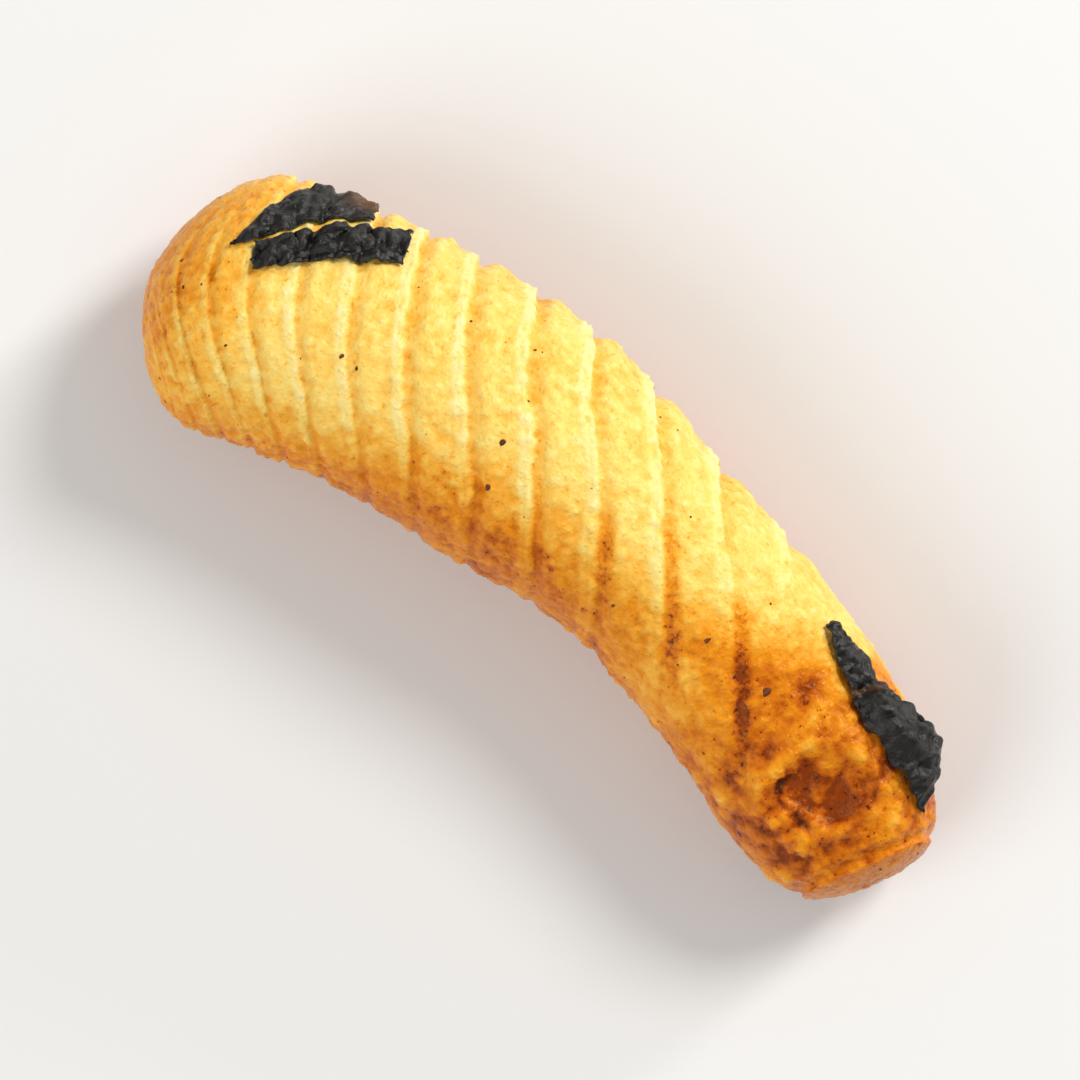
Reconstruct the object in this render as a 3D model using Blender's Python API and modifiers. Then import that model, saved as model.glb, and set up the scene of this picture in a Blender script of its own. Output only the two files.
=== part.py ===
"""A curved, ribbed rice cracker with three strips of dried seaweed.

Metres, +Z up. The cracker lies on its flattened underside. +X runs along its chord from the fat
end to the thin end, and +Y points to the outer side of its bend. The origin is the middle of the
bounding box on the ground. A place on the crust is given by two values: `along`, the distance
from the fat tip along the bent axis, and `turn`, the angle round that axis, 0 on top and
positive towards the outer side of the bend.
"""
import math

import bmesh
import bpy
from mathutils import Vector

MM = 0.001

# The bent axis
AXIS_LENGTH = 42.2 * MM
BEND_RADIUS = 43.9 * MM
BOX_CENTRE_X = 0.277 * MM
BOX_CENTRE_Y = -1.534 * MM

# Sections across the axis
FAT_HALF_WIDTH = 5.9 * MM
THIN_HALF_WIDTH = 4.88 * MM
NARROWING_START = 16.6 * MM
NARROWING_END = 26.0 * MM
FAT_HEIGHT = 10.2 * MM
MIDDLE_HEIGHT = 11.3 * MM
THIN_HEIGHT = 8.5 * MM
ROUND_POWER = 2.0
SQUARE_POWER = 2.7
SQUARING_START = 25.0 * MM
SQUARING_END = 37.0 * MM
FLAT_DEPTH = 0.45 * MM

# Ends: the fat one is rounded, the thin one tapers and is cut off with a rounded edge
FAT_TIP_LENGTH = 4.2 * MM
FAT_TIP_POWER = 1.7
THIN_TAPER_LENGTH = 8.5 * MM
THIN_TAPER_CUT = 1.9 * MM
THIN_EDGE_LENGTH = 0.9 * MM
THIN_TIP_POWER = 1.8
FAT_TIP_SLANT = 0.13
FAT_SLANT_REACH = 8.0 * MM
THIN_TIP_LEAN = 0.13
THIN_LEAN_REACH = 6.0 * MM

# The crease that sets off the lip of the cut end
LIP_WIDTH = 1.0 * MM
CREASE_WIDTH = 0.28 * MM
CREASE_DEPTH = 0.2 * MM

# Ribs, which cross the bent log in one direction and are crowded at the fat end
RIB_ANGLE = math.radians(40.0)
RIB_PITCH = 2.85 * MM
RIB_START = 17.73 * MM
RIB_LEAD = 0.58
RIB_CROWDING = 1.88
RIB_CROWDING_REACH = 4.17 * MM
RIB_BOW_FAT = 2.3 * MM
RIB_BOW_THIN = -0.3 * MM
RIB_BOW_REACH = 21.0 * MM
RIB_SKEW = 0.58
RIB_HEIGHT = 0.16 * MM
RIB_FADE_START = 30.0 * MM
RIB_FADE_END = 37.0 * MM
RIB_FADED = 0.3
CROWDED_START = -3.0 * MM
CROWDED_END = 2.5 * MM
TIP_FADE = 2.4 * MM

# The toasted hollow near the thin end
HOLLOW_ALONG = 37.4 * MM
HOLLOW_ACROSS = -0.4 * MM
HOLLOW_RADIUS = 1.7 * MM
HOLLOW_DEPTH = 0.42 * MM

# Mesh of the cracker
SEGMENTS_AROUND = 44
RINGS_ALONG = 96
TIP_EASING = 0.1

# Seaweed strips
CLEARANCE = 0.33 * MM
STRIP_THICKNESS = 0.26 * MM
CURL_THICKNESS = 0.42 * MM
STRIP_CELLS_ALONG = 14
STRIP_CELLS_ACROSS = 4

CRUST_COLOUR = (0.80, 0.45, 0.11, 1.0)
CRUST_ROUGHNESS = 0.5
SEAWEED_COLOUR = (0.013, 0.012, 0.008, 1.0)
SEAWEED_ROUGHNESS = 0.45


def clear_scene():
    """Remove every object and the collections left from an earlier run."""
    for item in list(bpy.data.objects):
        bpy.data.objects.remove(item, do_unlink=True)
    for group in list(bpy.data.collections):
        bpy.data.collections.remove(group)


def ease(low, high, value):
    """Rise smoothly from 0 at `low` to 1 at `high`."""
    fraction = min(max((value - low) / (high - low), 0.0), 1.0)
    return fraction * fraction * (3.0 - 2.0 * fraction)


def blend(first, second, fraction):
    return first + (second - first) * fraction


def signed_power(value, power):
    return math.copysign(abs(value) ** power, value)


def tip_rounding(along):
    """Share of the full section at `along`: 0 on both tips, 1 between them."""
    to_cut = AXIS_LENGTH - along
    share = 1.0
    for gap, reach, power in (
        (along, FAT_TIP_LENGTH, FAT_TIP_POWER),
        (to_cut + THIN_TAPER_CUT, THIN_TAPER_LENGTH, THIN_TIP_POWER),
        (to_cut, THIN_EDGE_LENGTH, THIN_TIP_POWER),
    ):
        inner = min(max(1.0 - gap / reach, 0.0), 1.0)
        share *= max(1.0 - inner ** power, 0.0) ** (1.0 / power)
    return share


def half_width(along):
    return blend(FAT_HALF_WIDTH, THIN_HALF_WIDTH, ease(NARROWING_START, NARROWING_END, along))


def full_height(along):
    """Height of the section: arched, highest at the middle and lowest at the thin end."""
    middle = 0.45 * AXIS_LENGTH
    if along < middle:
        return blend(FAT_HEIGHT, MIDDLE_HEIGHT, ease(0.0, middle, along))
    return blend(MIDDLE_HEIGHT, THIN_HEIGHT, ease(middle, AXIS_LENGTH, along))


def rib_relief(along, turn):
    """Ribs with a steep face towards the fat end and a long slope towards the thin end.

    Each groove lies in an upright plane at RIB_ANGLE to the chord, bowed where it runs down the
    sides. The count of ribs passed is a whole number in every groove.
    """
    place = crust_point(along, turn, 0.0)
    bow = blend(RIB_BOW_FAT, RIB_BOW_THIN, ease(0.0, RIB_BOW_REACH, along))
    passed = RIB_START - bow * math.sin(turn) ** 2
    passed += (place.x + BOX_CENTRE_X) * math.cos(RIB_ANGLE)
    passed += (place.y + BOX_CENTRE_Y) * math.sin(RIB_ANGLE)
    count = RIB_LEAD + passed / RIB_PITCH
    count -= RIB_CROWDING * math.exp(-passed / RIB_CROWDING_REACH)
    wave = -math.cos(2.0 * math.pi * (count % 1.0) ** RIB_SKEW)
    strength = blend(1.0, RIB_FADED, ease(RIB_FADE_START, RIB_FADE_END, along))
    strength *= ease(CROWDED_START, CROWDED_END, passed)
    strength *= ease(0.0, TIP_FADE, along) * ease(0.0, TIP_FADE, AXIS_LENGTH - along)
    return RIB_HEIGHT * wave * strength


def hollow_relief(along, turn):
    """The shallow round hollow on top, near the thin end."""
    if abs(turn) > 0.5 * math.pi:
        return 0.0
    across = half_width(along) * math.sin(turn)
    distance = math.hypot(along - HOLLOW_ALONG, across - HOLLOW_ACROSS) / HOLLOW_RADIUS
    return -HOLLOW_DEPTH * math.exp(-distance ** 4)


def crease_relief(along):
    """The crease round the thin end, one lip's width from the cut."""
    distance = (AXIS_LENGTH - LIP_WIDTH - along) / CREASE_WIDTH
    return -CREASE_DEPTH * math.exp(-distance ** 2)


def crust_point(along, turn, relief):
    """Point of the crust, with the plain section grown outwards by `relief`."""
    share = tip_rounding(along)
    power = 2.0 / blend(ROUND_POWER, SQUARE_POWER, ease(SQUARING_START, SQUARING_END, along))
    across = (half_width(along) + relief) * share * signed_power(math.sin(turn), power)
    half_height = 0.5 * full_height(along)
    above_axis = (half_height + relief) * share * signed_power(math.cos(turn), power)
    slant = FAT_TIP_SLANT * across * (1.0 - ease(0.0, FAT_SLANT_REACH, along))
    lean = THIN_TIP_LEAN * above_axis * (1.0 - ease(0.0, THIN_LEAN_REACH, AXIS_LENGTH - along))
    angle = (along + slant - lean - 0.5 * AXIS_LENGTH) / BEND_RADIUS
    radius = BEND_RADIUS + across
    return Vector((
        radius * math.sin(angle) - BOX_CENTRE_X,
        radius * math.cos(angle) - BEND_RADIUS - BOX_CENTRE_Y,
        max(half_height - FLAT_DEPTH + above_axis, 0.0),
    ))


def ring_station(fraction):
    """Distance along the axis of a ring, with the rings closer together on the tips."""
    ease_in = min(fraction, TIP_EASING)
    ease_out = min(1.0 - fraction, TIP_EASING)
    middle = fraction - ease_in - (TIP_EASING - ease_out)
    covered = ease_in ** 2 / (2.0 * TIP_EASING) + middle
    covered += 0.5 * TIP_EASING - ease_out ** 2 / (2.0 * TIP_EASING)
    return AXIS_LENGTH * covered / (1.0 - TIP_EASING)


def make_material(name, colour, roughness):
    material = bpy.data.materials.new(name)
    material.use_nodes = True
    shader = material.node_tree.nodes["Principled BSDF"]
    shader.inputs["Base Color"].default_value = colour
    shader.inputs["Roughness"].default_value = roughness
    shader.inputs["Metallic"].default_value = 0.0
    return material


def add_object(name, shape, material, collection):
    """Turn a bmesh into a named, smooth-shaded object of the collection."""
    mesh = bpy.data.meshes.new(name)
    shape.to_mesh(mesh)
    shape.free()
    mesh.shade_smooth()
    mesh.materials.append(material)
    item = bpy.data.objects.new(name, mesh)
    collection.objects.link(item)
    return item


def make_cracker(material, collection):
    """A sphere whose rings are laid out along the bent axis and grown to the ribbed section."""
    shape = bmesh.new()
    bmesh.ops.create_uvsphere(
        shape, u_segments=SEGMENTS_AROUND, v_segments=RINGS_ALONG, radius=1.0)
    for vertex in shape.verts:
        ball = vertex.co.copy()
        along = ring_station(math.acos(min(max(ball.z, -1.0), 1.0)) / math.pi)
        turn = math.atan2(ball.y, ball.x)
        relief = rib_relief(along, turn) + hollow_relief(along, turn) + crease_relief(along)
        vertex.co = crust_point(along, turn, relief)
    bmesh.ops.recalc_face_normals(shape, faces=shape.faces)
    bmesh.ops.triangulate(shape, faces=shape.faces)
    return add_object("cracker", shape, material, collection)


def make_strip(name, path, widths, stand_off, thickness, material, collection):
    """A strip of seaweed laid over the crust.

    `path` is its start, middle and end as (along, girth) pairs, where girth is the distance
    round the crust from the top line. `widths` are the half widths there, and `stand_off` is how
    far the middle arches away from the crust.
    """
    shape = bmesh.new()
    bmesh.ops.create_grid(
        shape, x_segments=STRIP_CELLS_ALONG, y_segments=STRIP_CELLS_ACROSS, size=1.0)
    start, middle, end = (Vector(point) for point in path)
    bend = 2.0 * middle - 0.5 * (start + end)
    for vertex in shape.verts:
        step = 0.5 * (vertex.co.x + 1.0)
        centre = start * (1.0 - step) ** 2 + bend * 2.0 * step * (1.0 - step) + end * step ** 2
        heading = (bend - start) * (1.0 - step) + (end - bend) * step
        side = Vector((-heading.y, heading.x)).normalized()
        if step < 0.5:
            width = blend(widths[0], widths[1], ease(0.0, 0.5, step))
        else:
            width = blend(widths[1], widths[2], ease(0.5, 1.0, step))
        place = centre + side * width * vertex.co.y
        lift = RIB_HEIGHT + CLEARANCE + stand_off * math.sin(math.pi * step) ** 2
        turn = place.y / half_width(place.x)
        vertex.co = crust_point(place.x, turn, lift / max(tip_rounding(place.x), 0.5))
    bmesh.ops.triangulate(shape, faces=shape.faces)
    strip = add_object(name, shape, material, collection)
    wall = strip.modifiers.new("thickness", "SOLIDIFY")
    wall.thickness = thickness
    wall.offset = 1.0
    wall.use_even_offset = True
    return strip


def main():
    clear_scene()
    collection = bpy.data.collections.new("japanese_rice_cracker")
    bpy.context.scene.collection.children.link(collection)
    crust = make_material("toasted_crust", CRUST_COLOUR, CRUST_ROUGHNESS)
    seaweed = make_material("dried_seaweed", SEAWEED_COLOUR, SEAWEED_ROUGHNESS)

    make_cracker(crust, collection)
    make_strip(
        "nori_back_strip",
        path=((3.2 * MM, 1.9 * MM), (4.9 * MM, 4.4 * MM), (7.5 * MM, 6.3 * MM)),
        widths=(0.25 * MM, 0.85 * MM, 0.45 * MM),
        stand_off=0.0, thickness=STRIP_THICKNESS, material=seaweed, collection=collection)
    make_strip(
        "nori_front_strip",
        path=((4.3 * MM, 1.5 * MM), (6.9 * MM, 3.5 * MM), (9.7 * MM, 5.6 * MM)),
        widths=(0.45 * MM, 0.75 * MM, 0.85 * MM),
        stand_off=0.0, thickness=STRIP_THICKNESS, material=seaweed, collection=collection)
    make_strip(
        "nori_curled_strip",
        path=((31.9 * MM, 3.7 * MM), (36.5 * MM, 3.7 * MM), (39.9 * MM, 4.0 * MM)),
        widths=(0.35 * MM, 0.95 * MM, 0.35 * MM),
        stand_off=0.45 * MM, thickness=CURL_THICKNESS, material=seaweed, collection=collection)


main()
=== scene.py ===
"""Looks of a curved, ribbed rice cracker with three strips of dried seaweed.

The shape is worked out in millimetres and turned into metres at the end. A place on the crust is
given by `along`, the distance from the fat tip along the bent axis, and `turn`, the angle round
that axis, 0 on top and positive towards the outer side of the bend. The same formulas serve
plain numbers and the numbers that flow through a node tree.
"""
import math

import bmesh
import bpy
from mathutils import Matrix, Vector, noise
from mathutils.bvhtree import BVHTree


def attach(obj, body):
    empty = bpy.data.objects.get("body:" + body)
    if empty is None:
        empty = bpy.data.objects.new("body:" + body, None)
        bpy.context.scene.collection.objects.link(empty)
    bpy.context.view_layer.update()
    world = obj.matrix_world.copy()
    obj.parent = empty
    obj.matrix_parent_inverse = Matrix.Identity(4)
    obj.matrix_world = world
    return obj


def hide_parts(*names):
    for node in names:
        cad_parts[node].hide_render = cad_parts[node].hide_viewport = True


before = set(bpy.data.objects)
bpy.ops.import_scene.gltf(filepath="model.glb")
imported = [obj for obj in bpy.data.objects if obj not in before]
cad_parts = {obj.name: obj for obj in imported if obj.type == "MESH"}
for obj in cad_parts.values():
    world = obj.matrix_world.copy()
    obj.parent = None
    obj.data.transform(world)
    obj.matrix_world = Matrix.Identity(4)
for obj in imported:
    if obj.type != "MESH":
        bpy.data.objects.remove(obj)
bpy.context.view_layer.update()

MM = 0.001

# The bent axis
AXIS_LENGTH = 42.2
BEND_RADIUS = 43.9
BOX_CENTRE_X = 0.277
BOX_CENTRE_Y = -1.534

# Sections across the axis
FAT_HALF_WIDTH = 5.9
THIN_HALF_WIDTH = 4.88
NARROWING_START = 16.6
NARROWING_END = 26.0
FAT_HEIGHT = 10.2
MIDDLE_HEIGHT = 11.3
THIN_HEIGHT = 8.5
HIGHEST_AT = 0.45
ROUND_POWER = 2.0
SQUARE_POWER = 2.7
SQUARING_START = 25.0
SQUARING_END = 37.0
FLAT_DEPTH = 0.45

# Ends: the fat one is rounded, the thin one tapers and is cut off with a rounded edge
FAT_TIP_LENGTH = 4.2
FAT_TIP_POWER = 1.7
THIN_TAPER_LENGTH = 8.5
THIN_TAPER_CUT = 1.9
THIN_EDGE_LENGTH = 0.9
THIN_TIP_POWER = 1.8
FAT_TIP_SLANT = 0.13
FAT_SLANT_REACH = 8.0
THIN_TIP_LEAN = 0.13
THIN_LEAN_REACH = 6.0
LIP_WIDTH = 1.0
CREASE_WIDTH = 0.22
CREASE_DEPTH = 0.42

# A stretch, here and below, is a pair of values: what it shapes starts at the first and is
# complete at the second

# Ribs, which cross the bent log in one direction and are crowded at the fat end
RIB_ANGLE = 40.0
RIB_PITCH = 2.85
RIB_START = 17.73
RIB_LEAD = 0.58
RIB_CROWDING = 1.88
RIB_CROWDING_REACH = 4.17
RIB_BOW_FAT = 2.3
RIB_BOW_THIN = -0.3
RIB_BOW_REACH = 21.0
RIB_DEPTH = 0.42
RIB_MIDDLE = 0.72
RIB_WANDERS = ((0.16, 0.4), (0.6, 0.1))

# Section of one rib, in shares of the pitch counted from the groove before it
RIB_RISE = (-0.03, 0.26)
RIB_SLOPE = (0.25, 0.72)
RIB_SLOPE_DROP = 0.35
RIB_FALL = (1.05, 0.87)
FIRST_RIDGE = 0.79
SECOND_RIDGE = 0.9
FIRST_RIDGE_HEIGHT = 0.18
SECOND_RIDGE_HEIGHT = 0.28
RIDGE_WIDTH = 0.045

# Strength of the ribs: weaker on top, on the inner side, on the thin half and beside the strips
RIB_FADE = (23.0, 34.0)
RIB_FADED = 0.2
CROWDED = (-5.0, -0.5)
TIP_FADE = 1.6
STRENGTH_SCALE = 0.22
STRENGTH_CHANGE = 1.2
STRENGTH_MEAN = 0.95
SIDE_STRENGTH = 1.25
TOP_STRENGTH = 0.75
TOP_STRETCH = (0.0, 0.8)
INNER_STRENGTH = 0.35
INNER_STRETCH = (-3.0, -5.4)
PLAIN_ACROSS = (1.6, 3.6)
PLAIN_ALONG = (6.0, 3.0)
PLAINNESS = 0.85

# The toasted hollow near the thin end
HOLLOW_ALONG = 37.4
HOLLOW_ACROSS = -0.4
HOLLOW_RADIUS = 1.75
HOLLOW_DEPTH = 0.5
HOLLOW_SCALE = 0.7
HOLLOW_RAGGEDNESS = 1.0
HOLLOW_TOP = (0.0, 0.5)
RIM_REACH = 1.3
RIM_WIDTH = 0.3
RIM_HEIGHT = 0.2

# Roughness of the crust; the scales count waves or cells to the millimetre
UNEVEN_SCALE = 0.13
SKIN_ALLOWANCE = 0.1
THIN_END = (30.5, 36.0)
STREAK_STRETCH = 0.35
FINE_RIB_COUNT = 3.2
FINE_RIB_STRETCH = 0.22
FINE_RIB_SCALE = 2.2
ROUGH_PATCH_SCALE = 0.3
ROUGH_PATCH_EDGE = (-0.15, 0.15)
BLISTER_SCALE = 1.9
BLISTER_MIDDLE = 0.4
BUBBLE_SCALE = 3.1
BUBBLE_MIDDLE = 0.35
BUBBLE_SHARE = 0.6
BLISTERED = (0.5, 1.15)
LUMP_SCALE = 0.8
LUMP_MIDDLE = 0.5
LUMP_SWAY_SCALE = 0.9
LUMP_SWAY = (1.6, 1.2)
LUMP_FADE = (0.4, 2.6)
WRINKLE_SCALE = 1.9
WRINKLE_AT = 0.45
WRINKLE_WIDTH = 0.33
WRINKLED = (0.6, 1.2)
GRAIN_SCALE = 3.4
PORE_SCALE = 0.9
PORE_EDGE = (0.24, 0.08)
TIP_REACH = 2.5
TIP_SMOOTHING = 0.4
TIP_SINKING = 0.07
GROUND_SCALE = 0.5
GROUND_UNEVENNESS = 0.15

# Mesh of the crust
SEGMENTS_AROUND = 250
RINGS_ALONG = 396
TIP_EASING = 0.1


# ---------------------------------------------------------------- numbers in node trees

class Number:
    """A number that flows through a node tree. Arithmetic on it adds Math nodes."""

    def __init__(self, nodes, socket):
        self.nodes = nodes
        self.socket = socket

    def math(self, operation, *others):
        sockets = dict(enumerate((self,) + others))
        return self.nodes.number("ShaderNodeMath", {"operation": operation}, sockets)

    def __add__(self, other):
        return self.math("ADD", other)

    def __sub__(self, other):
        return self.math("SUBTRACT", other)

    def __mul__(self, other):
        return self.math("MULTIPLY", other)

    def __truediv__(self, other):
        return self.math("DIVIDE", other)

    def __pow__(self, other):
        return self.math("POWER", other)

    def __rsub__(self, other):
        return self.nodes.constant(other).math("SUBTRACT", self)

    def __rtruediv__(self, other):
        return self.nodes.constant(other).math("DIVIDE", self)

    def __neg__(self):
        return self.math("MULTIPLY", -1.0)

    __radd__ = __add__
    __rmul__ = __mul__


class Nodes:
    """Adds nodes to one tree."""

    def __init__(self, tree):
        self.tree = tree

    def add(self, kind, settings=None, sockets=None):
        """Add a node: first its settings, such as a ramp's stops, then its sockets' values."""
        node = self.tree.nodes.new(kind)
        for name, value in (settings or {}).items():
            if name == "stops":
                self.set_stops(node.color_ramp, value)
            else:
                setattr(node, name, value)
        for key, value in (sockets or {}).items():
            socket = self.find(node.inputs, key)
            value = value.socket if isinstance(value, Number) else value
            if isinstance(value, bpy.types.NodeSocket):
                self.tree.links.new(value, socket)
            else:
                socket.default_value = value
        return node

    @staticmethod
    def find(sockets, key):
        if isinstance(key, int):
            return sockets[key]
        return next(socket for socket in sockets if socket.name == key and socket.enabled)

    @staticmethod
    def set_stops(ramp, stops):
        while len(ramp.elements) < len(stops):
            ramp.elements.new(1.0)
        for element, (position, colour) in zip(ramp.elements, stops):
            element.position = position
            element.color = colour

    def number(self, kind, settings=None, sockets=None, output=0):
        return Number(self, self.add(kind, settings, sockets).outputs[output])

    def constant(self, value):
        node = self.add("ShaderNodeMath", {"operation": "ADD"}, {0: value, 1: 0.0})
        return Number(self, node.outputs[0])

    def vector(self, x, y, z):
        return self.add("ShaderNodeCombineXYZ", None, {0: x, 1: y, 2: z}).outputs[0]

    def split(self, vector):
        node = self.add("ShaderNodeSeparateXYZ", None, {0: vector})
        return tuple(Number(self, output) for output in node.outputs)

    def noise(self, place, scale, detail=2.0, roughness=0.5, shift=0.0):
        """Noise about 0, mostly between -0.5 and 0.5."""
        settings = {"noise_dimensions": "4D"}
        sockets = {"Vector": place, "W": shift, "Scale": scale, "Detail": detail,
                   "Roughness": roughness}
        return self.number("ShaderNodeTexNoise", settings, sockets) - 0.5

    def cells(self, place, scale, feature="F1", shift=None):
        """Distance to the nearest of a cloud of points, another cloud for each `shift`."""
        settings = {"voronoi_dimensions": "3D" if shift is None else "4D", "feature": feature}
        sockets = {"Vector": place, "Scale": scale}
        if shift is not None:
            sockets["W"] = shift
        if feature == "SMOOTH_F1":
            sockets["Smoothness"] = 0.4
        return self.number("ShaderNodeTexVoronoi", settings, sockets)

    def tint(self, amount, under, over):
        """Colour `over` laid on colour `under` by `amount`."""
        settings = {"data_type": "RGBA", "blend_type": "MIX", "clamp_factor": True}
        node = self.add("ShaderNodeMix", settings, {0: amount, 6: under, 7: over})
        return node.outputs[2]


# ---------------------------------------------------------------- maths for both kinds of number

def is_flowing(value):
    return isinstance(value, Number)


def sine(value):
    return value.math("SINE") if is_flowing(value) else math.sin(value)


def cosine(value):
    return value.math("COSINE") if is_flowing(value) else math.cos(value)


def least(value, other):
    return value.math("MINIMUM", other) if is_flowing(value) else min(value, other)


def most(value, other):
    return value.math("MAXIMUM", other) if is_flowing(value) else max(value, other)


def signed_power(value, power):
    """Power of the size of a number, with its sign kept."""
    if is_flowing(value):
        return value.math("SIGN") * value.math("ABSOLUTE") ** power
    return math.copysign(abs(value) ** power, value)


def ease(low, high, value):
    """Rise smoothly from 0 at `low` to 1 at `high`, or fall where `low` is the greater."""
    if is_flowing(value):
        settings = {"interpolation_type": "SMOOTHSTEP"}
        sockets = {"Value": value, "From Min": low, "From Max": high}
        if low > high:
            sockets.update({"From Min": high, "From Max": low, "To Min": 1.0, "To Max": 0.0})
        return value.nodes.number("ShaderNodeMapRange", settings, sockets)
    fraction = min(max((value - low) / (high - low), 0.0), 1.0)
    return fraction * fraction * (3.0 - 2.0 * fraction)


def blend(first, second, fraction):
    """`first` where the fraction is 0 and `second` where it is 1."""
    return (second - first) * fraction + first


def bell(centre, width, value):
    """A smooth bump of height 1 at `centre`."""
    distance = (value - centre) / width
    return (-(distance * distance)).math("EXPONENT")


# ---------------------------------------------------------------- shape of the crust

def tip_rounding(along):
    """Share of the full section at `along`: 0 on both tips, 1 between them."""
    to_cut = AXIS_LENGTH - along
    share = 1.0
    for gap, reach, power in (
        (along, FAT_TIP_LENGTH, FAT_TIP_POWER),
        (to_cut + THIN_TAPER_CUT, THIN_TAPER_LENGTH, THIN_TIP_POWER),
        (to_cut, THIN_EDGE_LENGTH, THIN_TIP_POWER),
    ):
        inner = least(most(1.0 - gap / reach, 0.0), 1.0)
        share = share * most(1.0 - inner ** power, 0.0) ** (1.0 / power)
    return share


def half_width(along):
    return blend(FAT_HALF_WIDTH, THIN_HALF_WIDTH, ease(NARROWING_START, NARROWING_END, along))


def full_height(along):
    """Height of the section: arched, highest near the middle and lowest at the thin end."""
    highest = HIGHEST_AT * AXIS_LENGTH
    rise = (MIDDLE_HEIGHT - FAT_HEIGHT) * ease(0.0, highest, along)
    fall = (MIDDLE_HEIGHT - THIN_HEIGHT) * ease(highest, AXIS_LENGTH, along)
    return rise - fall + FAT_HEIGHT


def crust_place(along, turn, relief):
    """Place on the crust, and its distance across the axis, grown outwards by `relief`."""
    share = tip_rounding(along)
    squaring = ease(SQUARING_START, SQUARING_END, along)
    power = 2.0 / blend(ROUND_POWER, SQUARE_POWER, squaring)
    across = (half_width(along) + relief) * share * signed_power(sine(turn), power)
    half_height = full_height(along) * 0.5
    above_axis = (half_height + relief) * share * signed_power(cosine(turn), power)
    slant = FAT_TIP_SLANT * across * ease(FAT_SLANT_REACH, 0.0, along)
    lean = THIN_TIP_LEAN * above_axis * ease(THIN_LEAN_REACH, 0.0, AXIS_LENGTH - along)
    angle = (along + slant - lean - 0.5 * AXIS_LENGTH) / BEND_RADIUS
    radius = across + BEND_RADIUS
    return (
        radius * sine(angle) - BOX_CENTRE_X,
        radius * cosine(angle) - BEND_RADIUS - BOX_CENTRE_Y,
        half_height - FLAT_DEPTH + above_axis,
        across,
    )


def rib_direction(x, y):
    """Distances from the middle of the bend across the ribs and along them."""
    across_ribs = (x + BOX_CENTRE_X) * math.cos(math.radians(RIB_ANGLE))
    across_ribs = across_ribs + (y + BOX_CENTRE_Y) * math.sin(math.radians(RIB_ANGLE))
    along_ribs = (y + BOX_CENTRE_Y) * math.cos(math.radians(RIB_ANGLE))
    along_ribs = along_ribs - (x + BOX_CENTRE_X) * math.sin(math.radians(RIB_ANGLE))
    return across_ribs, along_ribs


def ribs_passed(x, y, along, turn, pitch):
    """Distance past the first groove, and the count of ribs, whole in every groove."""
    bow = blend(RIB_BOW_FAT, RIB_BOW_THIN, ease(0.0, RIB_BOW_REACH, along))
    passed = rib_direction(x, y)[0] - bow * sine(turn) * sine(turn) + RIB_START
    crowding = (passed / -RIB_CROWDING_REACH).math("EXPONENT") * RIB_CROWDING
    return passed, passed / pitch - crowding + RIB_LEAD


def rib_profile(fraction):
    """Section of one rib, from 0 in the groove before it to 0 in the groove after it.

    It rises steeply, slopes down slowly, and ends in a pair of thin ridges and a steep drop.
    """
    long_slope = 1.0 - RIB_SLOPE_DROP * ease(*RIB_SLOPE, fraction)
    profile = ease(*RIB_RISE, fraction) * long_slope * ease(*RIB_FALL, fraction)
    profile = profile + bell(FIRST_RIDGE, RIDGE_WIDTH, fraction) * FIRST_RIDGE_HEIGHT
    return profile + bell(SECOND_RIDGE, RIDGE_WIDTH, fraction) * SECOND_RIDGE_HEIGHT


def rib_strength(nodes, plain, along, across, turn, passed, seed):
    """How strongly the ribs stand out at each place."""
    strength = blend(1.0, RIB_FADED, ease(*RIB_FADE, along))
    strength = strength * ease(*CROWDED, passed) * ease(0.0, TIP_FADE, along)
    strength = strength * ease(0.0, TIP_FADE, AXIS_LENGTH - along)
    change = nodes.noise(plain, STRENGTH_SCALE, shift=seed + 5.0) * STRENGTH_CHANGE
    strength = strength * (change + STRENGTH_MEAN)
    strength = strength * blend(SIDE_STRENGTH, TOP_STRENGTH, ease(*TOP_STRETCH, cosine(turn)))
    strength = strength * blend(1.0, INNER_STRENGTH, ease(*INNER_STRETCH, across))
    beside_strips = ease(*PLAIN_ACROSS, across) * ease(*PLAIN_ALONG, along)
    return strength * (1.0 - beside_strips * PLAINNESS)


def hollow(nodes, plain, along, across, turn, depth, seed):
    """Heights of the hollow and of its rim, and each place's distance in radii from its middle."""
    top = ease(*HOLLOW_TOP, cosine(turn))
    far_along = (along - HOLLOW_ALONG) / HOLLOW_RADIUS
    far_across = (across - HOLLOW_ACROSS) / HOLLOW_RADIUS
    reach = (far_along * far_along + far_across * far_across).math("SQRT")
    reach = reach + nodes.noise(plain, HOLLOW_SCALE, shift=seed + 9.0) * HOLLOW_RAGGEDNESS
    bowl = bell(0.0, 1.0, reach * reach) * top * -depth
    rim = bell(RIM_REACH, RIM_WIDTH, reach) * top * RIM_HEIGHT
    return bowl, rim, reach


def ring_station(fraction):
    """Distance along the axis of a ring, with the rings closer together on the tips."""
    ease_in = least(fraction, TIP_EASING)
    ease_out = least(1.0 - fraction, TIP_EASING)
    covered = ease_in * ease_in / (2.0 * TIP_EASING) + fraction - ease_in - TIP_EASING + ease_out
    covered = covered + 0.5 * TIP_EASING - ease_out * ease_out / (2.0 * TIP_EASING)
    return covered * (AXIS_LENGTH / (1.0 - TIP_EASING))


# ---------------------------------------------------------------- node trees that make pieces

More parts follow.
